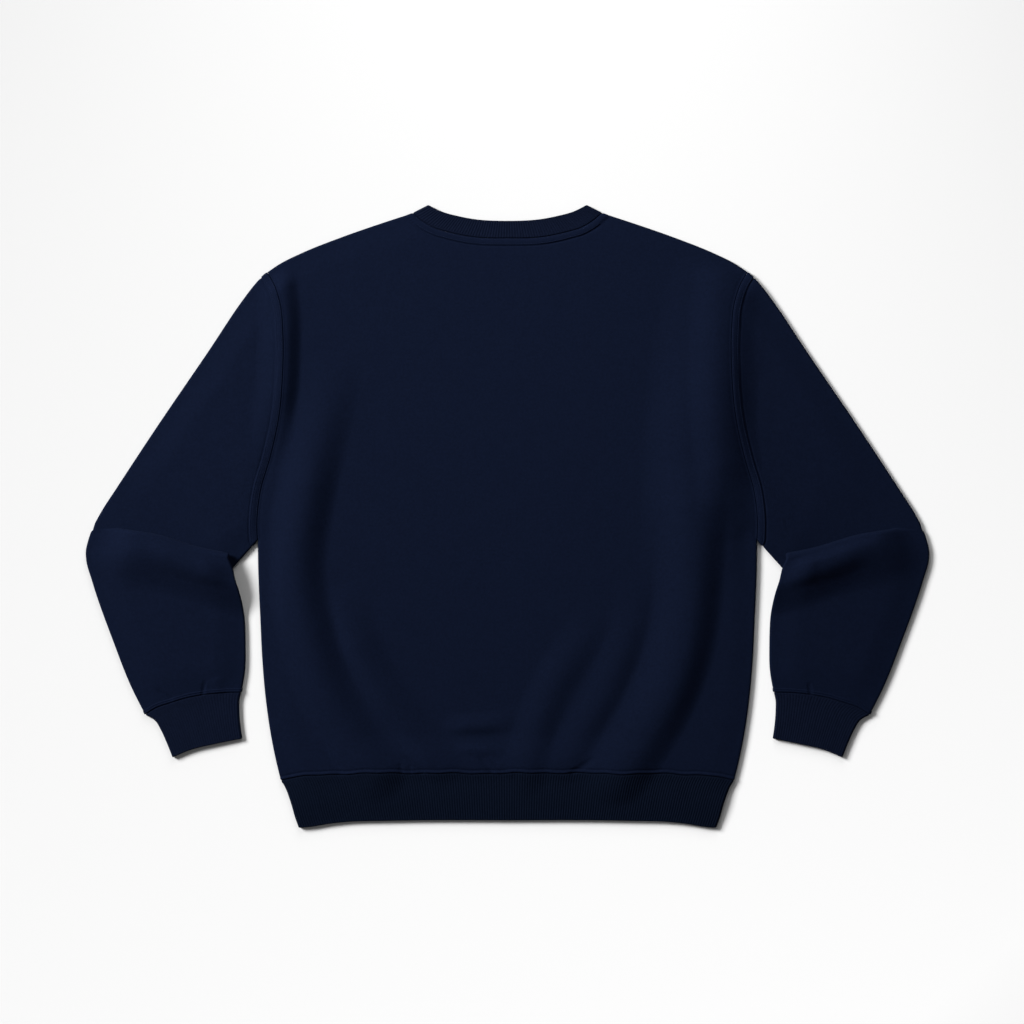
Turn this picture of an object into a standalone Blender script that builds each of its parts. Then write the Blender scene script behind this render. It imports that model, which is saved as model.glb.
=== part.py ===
"""A crewneck sweatshirt laid flat on its front, back up, sleeves bent at the elbow.

Metres, +Z up. The neck points to +Y and the surface it lies on is z = 0. The origin is under
the middle of the whole outline. Each cut-and-sewn piece is one solid: the cloth is a thin wall,
and each tube (sleeve, cuff, hem band, collar) is hollow and open at both ends.

Plan tables are in millimetres, (x, y), for the +X side. The -X side is its mirror image.
"""

from functools import partial

import bpy
import numpy as np

MM = 0.001

# Cloth thicknesses and the height of two layers lying on each other.
WALL = 2.2 * MM
RIB_WALL = 2.4 * MM
GAP = 0.3 * MM
FRONT_NECK_GAP = 0.48 * MM
HALF = 2.65 * MM

# The back panel's air: how far it stands above two flat layers, and how far in that is reached.
BODY_LIFT = 1.4 * MM
BODY_LIFT_WIDTH = 30 * MM
SLEEVE_LIFT = 3 * MM
FOREARM_LIFT = 3 * MM
SLEEVE_LIFT_WIDTH = 38 * MM
CUFF_LIFTS = (0.9 * MM, 0.3 * MM, 0.3 * MM, 0.3 * MM)

# Shares of a sleeve's length over which one lift gives way to the next.
BODY_LIFT_FADES = 0.25
SLEEVE_LIFT_FADES = 0.35
FOREARM_LIFT_GROWS = 0.2
FOREARM_LIFT_FADES = 0.3
FOREARM_LIFT_ENDS = 1.1

# The tuck at the elbow: the sleeve folds back under its own forearm.
TUCK_RADIUS = HALF + 0.6 * MM
TUCK_DEPTH = 22 * MM
TUCK_SHORTEST = 1 * MM
TUCK_OPENS_BY = 0.32
TUCK_LENGTHENS_FROM = 0.224
TUCK_LENGTHENS_OVER = 0.84
TUCK_SETTLES_OVER = 62 * MM
TUCK_DIRECTION = np.array([0.206, -0.978])

# Plan of the folded edges and seams. MIDDLE_Y is the middle of the whole outline in these tables.
MIDDLE_Y = -1
SHOULDER = ((109.6, 350.6), (147.9, 338.1), (194.3, 321.9), (240.7, 303.3), (263.9, 291.7),
            (278.4, 281.9))
ARMHOLE = (
    (289.4, -28.4), (289.8, -8), (286, 27), (274, 69), (264, 113), (259, 170), (259, 212), (262.3, 245),
    (269.7, 267.4), (278.4, 281.9),
)
SIDE = ((262.7, -306.8), (264.5, -300), (273.2, -260.4), (280.1, -214), (284.2, -168), (286.5, -121),
        (289, -60), (289.4, -28.4))
HEM_SEAM = ((262.7, -306.8), (245, -303), (200, -299.8), (100, -298.5), (0, -298.5))
HEM_SIDE = ((262.7, -306.8), (258.7, -312.6), (251.7, -330), (244.8, -353.2), (241.5, -361.9))
HEM_EDGE = ((241.5, -361.9), (228, -360.8), (209, -357.6), (189, -355.3), (139, -353.8), (0, -353.2))
BACK_NECK_SEAM = ((109.6, 350.6), (95.7, 339.1), (85.1, 333.3), (71.5, 329.1), (40.8, 322.7), (0, 321.2))
BACK_NECK_EDGE = ((91.5, 359.9), (77.7, 352.8), (56.7, 346.9), (40.8, 343.8), (0, 341.4))
FRONT_NECK_SEAM = ((109.6, 350.6), (104.5, 318), (88, 283), (60, 256), (30, 243), (0, 239))
FRONT_NECK_EDGE = ((91.5, 359.9), (86.5, 328), (72, 298), (49, 275), (25, 264), (0, 260))
SLEEVE_OUTER = ((278.4, 281.9), (288.3, 273.2), (298.1, 261.6), (306.8, 250), (345.7, 192), (408.9, 99.2),
                (454.7, 29.6), (469.8, 6.4), (479.4, -11))
SLEEVE_INNER = ((289.4, -28.4), (303.3, -44), (317.5, -59.7), (325.5, -68.5))
CREASE = ((479.4, -11), (445, -15.5), (406.5, -21.5), (355, -36.5), (321, -43.5))
FOREARM_OUTER = ((482, -16.8), (486, -28.4), (488.9, -42), (488.4, -51.6), (482, -74.8), (457.6, -144.4),
                 (434.4, -202.4), (425.7, -219.8), (420, -230.5))
FOREARM_INNER = ((322.2, -49.3), (317.5, -60), (313.8, -75), (310.3, -86.4), (305.7, -109.6), (303.5, -150),
                 (304.2, -180), (308.5, -204.5))
CUFF_SEAM = ((420, -230.5), (406, -221.9), (391.5, -217), (372, -211), (352, -207.3), (331, -205),
             (308.5, -204.5))
CUFF_OUTER = ((419.4, -231.2), (409, -237), (401.4, -248.8), (396.1, -260.4), (388, -280.5))
CUFF_INNER = ((308.9, -205.2), (310.9, -214), (311, -225), (310.3, -237.2), (307.5, -258.5))
CUFF_EDGE = ((388, -280.5), (366.7, -271.5), (340.7, -265.2), (307.5, -258.5))

# The largest folds of the back panel, each a soft ridge: the plan of its crest in millimetres,
# how far it falls away to its -X and +X sides, its height, and its strength at its two ends.
FOLDS = (
    # crest, minus side, plus side, height, first, last
    (
        ((-215, 130), (-226, 60), (-231, -40), (-221, -135), (-201, -199), (-162, -255), (-125, -298)),
        46, 34, 6, 0, 0.5,
    ),
    (((26, -300), (38, -235), (55, -200), (84, -155), (106, -112)), 30, 30, 4.5, 0.5, 0),
    (
        ((132, -300), (164, -256), (192, -214), (212, -170), (223, -124), (233, -62), (237, 0),
         (237, 130), (250, 250)),
        55, 32, 7, 0.5, 0,
    ),
)

# How many stretches each piece is cut into.
HEM_CUTS = (0.03, 0.07, 0.115, 0.16, 0.21, 0.26, 0.31, 0.36, 0.41, 0.455, 0.5)
NECK_CUTS = (0.12, 0.24, 0.34, 0.42, 0.5)
SHOULDER_CUTS = (0.2, 0.45, 0.72)
ARMHOLE_CUTS = (0.08, 0.22, 0.38, 0.54, 0.7, 0.86)
SIDE_CUTS = (0.12, 0.24, 0.36, 0.48, 0.6, 0.72, 0.84, 0.94)
FRONT_SIDE_CUTS = (0.33, 0.66)
UPPER_SLEEVE_CUTS = (0.07, 0.22, 0.4, 0.58, 0.76, 0.92)
FOREARM_CUTS = (0.06, 0.16, 0.28, 0.42, 0.58, 0.78, 1)
CUFF_CUTS = (0.18, 0.55, 1)
HEM_ROWS = (0, 0.3, 0.65, 1)
COLLAR_ROWS = (0, 0.5, 1)
TUCK_TURNS = (0, 1 / 3, 2 / 3, 1)
ROLL_ANGLES = np.radians((0, 45, 90))

# SAMPLES: the places at which a line is read to blend it with another. PROBE: the step for a
# slope. INSIDE: how far in a point on an edge counts as lying. CORE_Y: where on x = 0 the way
# in from an edge may lead. HEM_BEND: how close to its ends the hem band's line bends.
SAMPLES = 80
PROBE = 0.5 * MM
INSIDE = 0.02 * MM
CORE_Y = (-250 * MM, 200 * MM)
HEM_BEND = 6
FOLD_STRENGTH_AT = (0, 0.3, 0.7, 1)

FLEECE = {"name": "navy_fleece", "colour": (0.0048, 0.0080, 0.0212, 1), "roughness": 0.9}
RIB = {"name": "navy_rib", "colour": (0.0044, 0.0075, 0.0198, 1), "roughness": 0.88}


def ease(x):
    """0 below 0, 1 above 1, and smooth between."""
    x = np.clip(x, 0, 1)
    return x * x * (3 - 2 * x)


def curve(points, steps=12):
    """A smooth line through plan points in millimetres, as close points in metres."""
    p = (np.array(points, float) - (0, MIDDLE_Y)) * MM
    step = np.linalg.norm(np.diff(p, axis=0), axis=1)
    slope = np.diff(p, axis=0) / step[:, None]
    before, after = step[:-1, None], step[1:, None]
    inner = (slope[:-1] * after + slope[1:] * before) / (before + after)
    tangent = np.vstack([1.5 * slope[:1] - 0.5 * inner[:1], inner, 1.5 * slope[-1:] - 0.5 * inner[-1:]])
    t = np.linspace(0, 1, steps, endpoint=False)[:, None]
    spans = []
    for k, length in enumerate(step):
        a, b = p[k], p[k + 1]
        spans.append(
            a * (2 * t**3 - 3 * t**2 + 1)
            + b * (3 * t**2 - 2 * t**3)
            + length * tangent[k] * (t**3 - 2 * t**2 + t)
            + length * tangent[k + 1] * (t**3 - t**2)
        )
    return np.vstack(spans + [p[-1:]])


def mirrored(line):
    """A half outline that ends on x = 0, carried on to its mirror image, from -X to +X."""
    other = line * (-1, 1)
    return np.vstack([other, line[-2::-1]])


def length_of(line):
    return np.linalg.norm(np.diff(line, axis=0), axis=1).sum()


def along(line, distances, aside=0.0):
    """Points at these distances along a line, moved aside to the left of its direction."""
    run = np.concatenate([[0], np.cumsum(np.linalg.norm(np.diff(line, axis=0), axis=1))])
    distances = np.asarray(distances)
    point = np.stack([np.interp(distances, run, line[:, k]) for k in (0, 1)], axis=-1)
    if aside:
        ahead = along(line, np.clip(distances + PROBE, 0, run[-1]))
        behind = along(line, np.clip(distances - PROBE, 0, run[-1]))
        way = ahead - behind
        way /= np.linalg.norm(way, axis=-1, keepdims=True)
        point = point + aside * np.stack([-way[..., 1], way[..., 0]], axis=-1)
    return point


def nearest(points, line):
    """For each point: its distance to a line, the nearest place on it, and how far along that
    is as a share of the line's length."""
    start, way = line[:-1], np.diff(line, axis=0)
    size = (way**2).sum(axis=1)
    t = np.clip(((points[:, None] - start) * way).sum(axis=-1) / size, 0, 1)
    foot = start + t[..., None] * way
    gap = np.linalg.norm(points[:, None] - foot, axis=-1)
    pick = gap.argmin(axis=1)
    rows = np.arange(len(points))
    run = np.concatenate([[0], np.cumsum(np.sqrt(size))])
    share = (run[pick] + t[rows, pick] * np.sqrt(size[pick])) / run[-1]
    return gap[rows, pick], foot[rows, pick], share


def both_sides(points):
    line = curve(points)
    return [line, line * (-1, 1)]


ROLLED = both_sides(SHOULDER) + both_sides(SIDE)
EDGES = ROLLED + both_sides(BACK_NECK_EDGE) + both_sides(HEM_EDGE)
FOLD_LINES = [(curve(crest), a * MM, b * MM, h * MM, s0, s1) for crest, a, b, h, s0, s1 in FOLDS]


def from_edges(points, lines):
    """Distance to the nearest of these lines, and the unit direction away from it. A point on
    a line counts as being just inside the body."""
    centre = np.stack([0 * points[:, 0], np.clip(points[:, 1], *CORE_Y)], axis=1)
    inward = centre - points
    inward /= np.maximum(np.linalg.norm(inward, axis=1, keepdims=True), 1e-9)
    inside = points + INSIDE * inward
    found = [nearest(inside, line)[:2] for line in lines]
    distance = np.array([gap for gap, _ in found])
    pick = distance.argmin(axis=0)
    foot = np.array([place for _, place in found])[pick, np.arange(len(points))]
    away = inside - foot
    away /= np.linalg.norm(away, axis=1, keepdims=True)
    true = np.min([nearest(points, line)[0] for line in lines], axis=0)
    return true, away


def fold_height(points):
    """The folds' height above the lifted cloth at plan points."""
    height = np.zeros(len(points))
    for line, minus, plus, top, first, last in FOLD_LINES:
        gap, foot, share = nearest(points, line)
        width = np.where(points[:, 0] < foot[:, 0], minus, plus)
        across = np.clip(1 - (gap / width) ** 2, 0, 1) ** 2
        strength = np.interp(share, FOLD_STRENGTH_AT, (first, 1, 1, last))
        height = np.maximum(height, top * across * strength)
    return height


def body_lift(points):
    """How far the back panel and what is sewn round it stand above two flat layers."""
    distance, _ = from_edges(points, EDGES)
    inside = ease(distance / BODY_LIFT_WIDTH)
    return BODY_LIFT * inside + fold_height(points) * inside


def grid_on(bottom, top, left, right, across, up):
    """A patch of plan points between four edges: across and up are each column's and row's share."""
    left, right = left.copy(), right.copy()
    left[0], left[-1], right[0], right[-1] = bottom[0], top[0], bottom[-1], top[-1]
    u, v = across[None, :, None], up[:, None, None]
    sides = (1 - u) * left[:, None] + u * right[:, None]
    ends = (1 - v) * bottom[None] + v * top[None]
    corners = (1 - v) * ((1 - u) * bottom[0] + u * bottom[-1]) + v * ((1 - u) * top[0] + u * top[-1])
    return sides + ends - corners


def shares(cuts):
    """Cuts up to the middle, mirrored to the other half."""
    return np.array(list(cuts) + [1 - c for c in cuts[-2::-1]])


def rolled_distances(length, cuts, half=HALF, angles=ROLL_ANGLES, inset=0.0):
    """Distances along a section from one folded edge to the other: round each edge by angles,
    and straight at the cuts between. An inset wall's own points lie that much further in."""
    turn = half - (half - inset) * np.cos(angles)
    middle = half + np.asarray(cuts) * (length - 2 * half)
    return np.concatenate([turn, middle, length - turn[::-1]])


def rolled_heights(cuts, half=HALF, angles=ROLL_ANGLES, inset=0.0):
    """Height above the mid plane of each of rolled_distances' points."""
    turn = (half - inset) * np.sin(angles)
    return np.concatenate([turn, np.full(len(cuts), half - inset), turn[::-1]])


def shell(name, outer, inner, material, closed):
    """One closed wall between two grids of points. A closed one joins its last column to its first."""
    rows, columns = outer.shape[:2]
    count = rows * columns
    points = np.concatenate([outer.reshape(-1, 3), inner.reshape(-1, 3)])
    around = columns if closed else columns - 1
    faces = []

    def at(row, column, layer):
        return layer * count + row * columns + column % columns

    for r in range(rows - 1):
        for c in range(around):
            for layer in (0, 1):
                a, b = at(r, c, layer), at(r, c + 1, layer)
                d, e = at(r + 1, c, layer), at(r + 1, c + 1, layer)
                faces += [(a, b, e), (a, e, d)] if layer == 0 else [(a, e, b), (a, d, e)]
    rim = [[at(0, c, 0) for c in range(around + 1)], [at(rows - 1, c, 0) for c in range(around, -1, -1)]]
    if not closed:
        rim.append([at(r, 0, 0) for r in range(rows - 1, -1, -1)])
        rim.append([at(r, columns - 1, 0) for r in range(rows)])
    for edge in rim:
        for a, b in zip(edge, edge[1:]):
            faces += [(b, a, a + count), (b, a + count, b + count)]
    corners = points[np.array(faces)]
    if np.einsum("ij,ij->i", corners[:, 0], np.cross(corners[:, 1], corners[:, 2])).sum() < 0:
        faces = [face[::-1] for face in faces]
    mesh = bpy.data.meshes.new(name)
    mesh.from_pydata(points.tolist(), [], faces)
    mesh.materials.append(material)
    mesh.shade_smooth()
    mesh.set_sharp_from_angle(angle=np.radians(50))
    piece = bpy.data.objects.new(name, mesh)
    bpy.context.scene.collection.objects.link(piece)
    return piece


def body_panel(name, material, neck_seam, side_cuts, top):
    """The back panel (top) or the front one. Folded edges at the shoulders and sides, open edges
    at the neck, armholes and hem."""
    seam = GAP / 2
    neck_gap = seam if top else FRONT_NECK_GAP
    hem = mirrored(curve(HEM_SEAM))
    neck = mirrored(curve(neck_seam))
    shoulder, armhole, side = curve(SHOULDER), curve(ARMHOLE), curve(SIDE)
    turn = HALF * (1 - np.cos(ROLL_ANGLES))

    shoulder_at = length_of(shoulder) * np.array([0] + list(SHOULDER_CUTS) + [1])
    shoulder_at = np.concatenate([shoulder_at[:-1], length_of(shoulder) - turn[::-1]])
    shoulder_at[0] = 2 * neck_gap
    half_top = along(shoulder, shoulder_at)[::-1]
    neck_at = rolled_distances(length_of(neck), shares(NECK_CUTS))
    middle = along(neck, neck_at, -neck_gap)
    middle[0], middle[-1] = half_top[-1] * (-1, 1), half_top[-1]
    top_edge = np.vstack([(half_top * (-1, 1))[:-1], middle, half_top[-2::-1]])

    hem_at = rolled_distances(length_of(hem), shares(HEM_CUTS))
    bottom_edge = along(hem, hem_at, seam)
    armhole_at = rolled_distances(length_of(armhole), ARMHOLE_CUTS)
    side_at = length_of(side) * np.array([0] + list(side_cuts))
    right = np.vstack([along(side, side_at), along(armhole, armhole_at, seam)])
    right[len(side_at)] = side[-1]
    rise = np.concatenate([side_at, length_of(side) + armhole_at])
    plan = grid_on(bottom_edge, top_edge, right * (-1, 1), right, hem_at / hem_at[-1], rise / rise[-1])
    flat = plan.reshape(-1, 2)

    distance, away = from_edges(flat, ROLLED)
    sine = np.sqrt(np.clip(1 - (1 - np.clip(distance / HALF, 0, 1)) ** 2, 0, 1))
    up = 1 if top else -1
    turned = HALF - GAP / 2
    height = HALF + up * (GAP / 2 + turned * sine)
    cosine = np.sqrt(1 - sine**2)
    normal = np.column_stack([-away * cosine[:, None], up * sine])
    if top:
        height = height + body_lift(flat)
        steps = np.eye(2) * PROBE
        slope = [(body_lift(flat + step) - body_lift(flat - step)) / (2 * PROBE) for step in steps]
        normal[:, :2] -= np.column_stack(slope) * sine[:, None]
        normal /= np.linalg.norm(normal, axis=1, keepdims=True)
    outer = np.column_stack([flat, height])
    inner = outer - WALL * normal
    shape = plan.shape[:2] + (3,)
    return shell(name, outer.reshape(shape), inner.reshape(shape), material, closed=False)


def loop(centre, normal, heights, lift):
    """One ring of a flattened tube. centre and normal are functions of the distance along the
    section; heights gives (distances, height above the mid plane) for the wall's face."""
    distances, height = heights
    middle, up = centre(distances), normal(distances)
    over = middle + up * (height + lift)[:, None]
    under = (middle - up * height[:, None])[1:-1]
    return np.vstack([over, under[::-1]])


def section(line, z=HALF, aside=0.0):
    """centre and normal for a section that lies flat along a plan line, at mid height z."""

    def centre(distances):
        plan = along(line, distances, aside)
        return np.column_stack([plan, np.full(len(plan), z)])

    def normal(distances):
        return np.tile([0.0, 0.0, 1.0], (len(distances), 1))

    return centre, normal


def ring_pair(line, cuts, wall, lift_at, make=section, **place):
    """The outer and inner ring of a tube's wall on one section."""
    rings = []
    centre, normal = make(line, **place)
    length = length_of(line)
    for inset in (0, wall):
        distances = rolled_distances(length, cuts, inset=inset)
        height = rolled_heights(cuts, inset=inset)
        lift = lift_at(distances / length, centre(distances)[:, :2])
        lift = lift * (rolled_heights(cuts) / HALF)
        rings.append(loop(centre, normal, (distances, height), lift))
    return rings


def tube(name, pairs, material):
    outer, inner = (np.array([pair[k] for pair in pairs]) for k in (0, 1))
    return shell(name, outer, inner, material, closed=True)


def hem_band(material):
    """The ribbed waistband: a flattened ring from the hem seam down to its folded edge."""
    seam, edge = mirrored(curve(HEM_SEAM)), mirrored(curve(HEM_EDGE))
    side = curve(HEM_SIDE)
    cuts = shares(HEM_CUTS)
    pairs = []
    t = np.linspace(0, 1, SAMPLES)
    upper, lower = along(seam, t * length_of(seam)), along(edge, t * length_of(edge))
    for share in HEM_ROWS:
        line = (1 - share) * upper + share * lower
        corner = along(side, [share * length_of(side)])[0] * (-1, 1)
        off = corner - line[0]
        line[:, 0] += off[0] * (1 - 2 * t)
        line[:, 1] += off[1] * np.abs(1 - 2 * t) ** HEM_BEND
        aside = -GAP / 2 if share == 0 else 0
        pairs.append(ring_pair(line, cuts, RIB_WALL, lambda s, xy: body_lift(xy), aside=aside))
    return tube("hem_band", pairs, material)


def collar(material):
    """The ribbed neckband: its back half lies on top, its front half underneath, and it folds
    over at the two tips."""
    cuts = shares(NECK_CUTS)
    back = [mirrored(curve(line)) for line in (BACK_NECK_EDGE, BACK_NECK_SEAM)]
    front = [mirrored(curve(line)) for line in (FRONT_NECK_EDGE, FRONT_NECK_SEAM)]
    t = np.linspace(0, 1, SAMPLES)
    pairs = []
    for share in COLLAR_ROWS:
        mixed = []
        for edge, seam in (back, front):
            a, b = along(edge, t * length_of(edge)), along(seam, t * length_of(seam))
            mixed.append(seam if share == 1 else (1 - share) * a + share * b)
        aside = GAP / 2 if share == 1 else 0
        pair = []
        for inset in (0, RIB_WALL):
            height = rolled_heights(cuts, inset=inset)
            rows = []
            for line, way in zip(mixed, (1, -1)):
                distances = rolled_distances(length_of(line), cuts, inset=inset)
                plan = along(line, distances, aside)
                z = HALF + way * height
                if way == 1:
                    z = z + body_lift(plan) * rolled_heights(cuts) / HALF
                rows.append(np.column_stack([plan, z]))
            pair.append(np.vstack([rows[0], rows[1][1:-1][::-1]]))
        pairs.append(pair)
    return tube("collar", pairs, material)


def tuck_turn(share):
    """How far the tuck turns back at this share of the sleeve's width, from its outer edge."""
    return np.pi * ease(share / TUCK_OPENS_BY)


def tuck_length(share):
    grown = ease((share - TUCK_LENGTHENS_FROM) / TUCK_LENGTHENS_OVER)
    return TUCK_SHORTEST + (TUCK_DEPTH - TUCK_SHORTEST) * grown


def tuck_rise(share):
    turn = tuck_turn(share)
    return 2 * TUCK_RADIUS * (1 - np.cos(turn)) + tuck_length(share) * np.sin(turn)


def tuck_section(line, fold, turned):
    """centre and normal of one section through the tuck. line is the crease's plan. fold 0 is
    the hidden fold underneath and fold 1 the crease on top; turned is the share of its turn."""
    length = length_of(line)
    crest = TUCK_RADIUS + HALF

    def place(distances):
        share = np.clip(distances / length, 0, 1)
        turn = tuck_turn(share)
        heading = turn * turned
        if fold == 1:
            forward = crest - TUCK_RADIUS * np.sin(heading)
            height = HALF + tuck_rise(share) - TUCK_RADIUS * (1 - np.cos(heading))
        else:
            start = crest - 2 * TUCK_RADIUS * np.sin(turn) - tuck_length(share) * np.cos(turn)
            forward = start + TUCK_RADIUS * np.sin(heading)
            height = HALF + TUCK_RADIUS * (1 - np.cos(heading))
        return heading, forward, height

    def centre(distances):
        _, forward, height = place(distances)
        plan = along(line, distances) + forward[:, None] * TUCK_DIRECTION
        return np.column_stack([plan, height])

    def normal(distances):
        heading, _, _ = place(distances)
        return np.column_stack([-np.sin(heading)[:, None] * TUCK_DIRECTION, np.cos(heading)])

    return centre, normal


def crown(share, width):
    """1 in the middle of a sleeve and 0 at its folded edges."""
    return ease(np.minimum(share, 1 - share) * width / SLEEVE_LIFT_WIDTH)


def patch_lines(first, last, outer, inner, cuts):
    """Section lines from one seam or crease to the next, between a sleeve's two folded edges."""
    across = np.linspace(0, 1, SAMPLES)
    start, end = along(first, across * length_of(first)), along(last, across * length_of(last))
    up = np.unique([0, *cuts, 1])
    left, right = along(outer, up * length_of(outer)), along(inner, up * length_of(inner))
    return grid_on(start, end, left, right, across, up)


def sleeve(name, side, material):
    """One sleeve: from the armhole down to the elbow, back under itself at the tuck, and on to
    the cuff seam. Its sections run from the outer folded edge to the inner one."""
    armhole, crease, cuff_seam = curve(ARMHOLE)[::-1], curve(CREASE), curve(CUFF_SEAM)
    cuts = 1 - np.array(ARMHOLE_CUTS)[::-1]
    pairs = []

    fine = np.linspace(0, length_of(crease), SAMPLES)
    under = tuck_section(crease, 0, 0)[0](fine)[:, :2]
    over = tuck_section(crease, 1, 0)[0](fine)[:, :2]
    upper = patch_lines(armhole, under, curve(SLEEVE_OUTER), curve(SLEEVE_INNER), UPPER_SLEEVE_CUTS)
    lower = patch_lines(over, cuff_seam, curve(FOREARM_OUTER), curve(FOREARM_INNER), FOREARM_CUTS)

    for line, t in zip(upper[:-1], [0] + list(UPPER_SLEEVE_CUTS)):
        width = length_of(line)

        def upper_lift(share, xy, t=t, width=width):
            own = SLEEVE_LIFT * crown(share, width) * ease((1 - t) / SLEEVE_LIFT_FADES)
            faded = ease(t / BODY_LIFT_FADES)
            return (1 - faded) * body_lift(xy) + faded * own

        aside = GAP / 2 if t == 0 else 0
        pairs.append(ring_pair(line, cuts, WALL, upper_lift, aside=aside))

    for fold in (0, 1):
        for turned in TUCK_TURNS if fold == 0 else TUCK_TURNS[::-1]:
            make = partial(tuck_section, fold=fold, turned=turned)
            pairs.append(ring_pair(crease, cuts, WALL, lambda share, xy: 0 * share, make=make))

    for line, t in zip(lower[1:], FOREARM_CUTS):
        width = length_of(line)
        reach = t * length_of(curve(FOREARM_INNER))

        def settled(line, reach=reach):
            flat, up = section(line)
            length = length_of(line)

            def centre(distances):
                points = flat(distances)
                share = np.clip(distances / length, 0, 1)
                clear = tuck_length(share) + TUCK_RADIUS + HALF
                points[:, 2] += tuck_rise(share) * (1 - ease((reach - clear) / TUCK_SETTLES_OVER))
                return points

            return centre, up

        def lower_lift(share, xy, t=t, width=width):
            grown = ease(t / FOREARM_LIFT_GROWS)
            left = ease((FOREARM_LIFT_ENDS - t) / FOREARM_LIFT_FADES)
            return FOREARM_LIFT * crown(share, width) * grown * left

        pairs.append(ring_pair(line, cuts, WALL, lower_lift, make=settled))

    pairs = [[ring * (side, 1, 1) for ring in pair] for pair in pairs]
    return tube(name, pairs, material)


def cuff(name, side, material):
    """A ribbed cuff: a flattened ring that narrows from the sleeve's end to its folded edge."""
    seam, edge = curve(CUFF_SEAM), curve(CUFF_EDGE)
    rows = patch_lines(seam, edge, curve(CUFF_OUTER), curve(CUFF_INNER), CUFF_CUTS)
    cuts = 1 - np.array(ARMHOLE_CUTS)[::-1]
    asides = [GAP] + [0] * len(CUFF_CUTS)
    pairs = []
    for line, height, aside in zip(rows, CUFF_LIFTS, asides):
        width = length_of(line)

        def lift(share, xy, height=height, width=width):
            return height * crown(share, width)

        pair = ring_pair(line, cuts, RIB_WALL, lift, aside=aside)
        pairs.append([ring * (side, 1, 1) for ring in pair])
    return tube(name, pairs, material)


def cloth_material(kind):
    material = bpy.data.materials.new(kind["name"])
    material.use_nodes = True
    shader = material.node_tree.nodes["Principled BSDF"]
    shader.inputs["Base Color"].default_value = kind["colour"]
    shader.inputs["Roughness"].default_value = kind["roughness"]
    shader.inputs["Metallic"].default_value = 0
    return material


def main():
    for thing in list(bpy.data.objects):
        bpy.data.objects.remove(thing)
    fleece, rib = cloth_material(FLEECE), cloth_material(RIB)
    body_panel("back_panel", fleece, BACK_NECK_SEAM, SIDE_CUTS, top=True)
    body_panel("front_panel", fleece, FRONT_NECK_SEAM, FRONT_SIDE_CUTS, top=False)
    collar(rib)
    hem_band(rib)
    for word, side in (("left", -1), ("right", 1)):
        sleeve("sleeve_" + word, side, fleece)
        cuff("cuff_" + word, side, rib)


main()
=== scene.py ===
"""The looks of the crewneck sweatshirt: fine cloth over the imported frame, with its folds, seams,
ribs and stitches, its materials, and the floor, lights and camera.

Metres, +Z up, +Y towards the neck, as in the frame. Plan tables are in millimetres, (x, y). An
outline's table holds the +X half and is mirrored for the other. A fold's table is where it lies.
"""

import bpy
import numpy as np
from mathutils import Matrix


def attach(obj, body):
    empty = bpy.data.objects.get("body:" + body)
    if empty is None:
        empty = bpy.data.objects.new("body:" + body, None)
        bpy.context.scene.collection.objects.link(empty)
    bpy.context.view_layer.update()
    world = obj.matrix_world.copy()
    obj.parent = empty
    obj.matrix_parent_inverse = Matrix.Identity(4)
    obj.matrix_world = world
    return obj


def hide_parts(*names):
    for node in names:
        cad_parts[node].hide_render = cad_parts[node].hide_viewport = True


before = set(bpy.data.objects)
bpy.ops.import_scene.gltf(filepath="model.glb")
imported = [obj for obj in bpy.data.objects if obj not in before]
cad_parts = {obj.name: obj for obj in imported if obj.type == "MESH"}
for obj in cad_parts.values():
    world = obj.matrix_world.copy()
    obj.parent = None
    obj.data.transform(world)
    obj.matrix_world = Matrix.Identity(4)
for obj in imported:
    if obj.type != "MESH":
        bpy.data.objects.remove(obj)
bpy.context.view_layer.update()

MM = 0.001
BODY = "root"

# The construction's sizes, as in the frame but for the tuck, which opens and settles more softly.
WALL = 2.2 * MM
RIB_WALL = 2.4 * MM
GAP = 0.3 * MM
FRONT_NECK_GAP = 0.48 * MM
HALF = 2.65 * MM
BODY_LIFT = 1.4 * MM
BODY_LIFT_WIDTH = 30 * MM
SLEEVE_LIFT = 3 * MM
FOREARM_LIFT = 3 * MM
SLEEVE_LIFT_WIDTH = 38 * MM
TUCK_RADIUS = HALF + 0.6 * MM
TUCK_DEPTH = 22 * MM
TUCK_SHORTEST = 1 * MM
TUCK_OPENS_BY = 0.42
TUCK_SETTLES_OVER = 46 * MM
TUCK_DIRECTION = np.array([0.206, -0.978])
TUCK_LENGTHENS_FROM = 0.7 * TUCK_OPENS_BY
TUCK_LENGTHENS_OVER = 1 - 0.5 * TUCK_OPENS_BY
TUCK_TURNS = 9

# Shares of an upper sleeve's, forearm's or cuff's length over which its lift changes.
BODY_LIFT_FADES = 0.16
SLEEVE_LIFT_FADES = 0.35
FOREARM_LIFT_GROWS = 0.2
FOREARM_LIFT_FADES = 0.3
FOREARM_LIFT_ENDS = 1.1
CUFF_LIFT_FADES = 1 / 3
CUFF_LIFT_AT_SEAM = 0.78 * MM
CUFF_LIFT_AT_EDGE = 0.3 * MM

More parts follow.
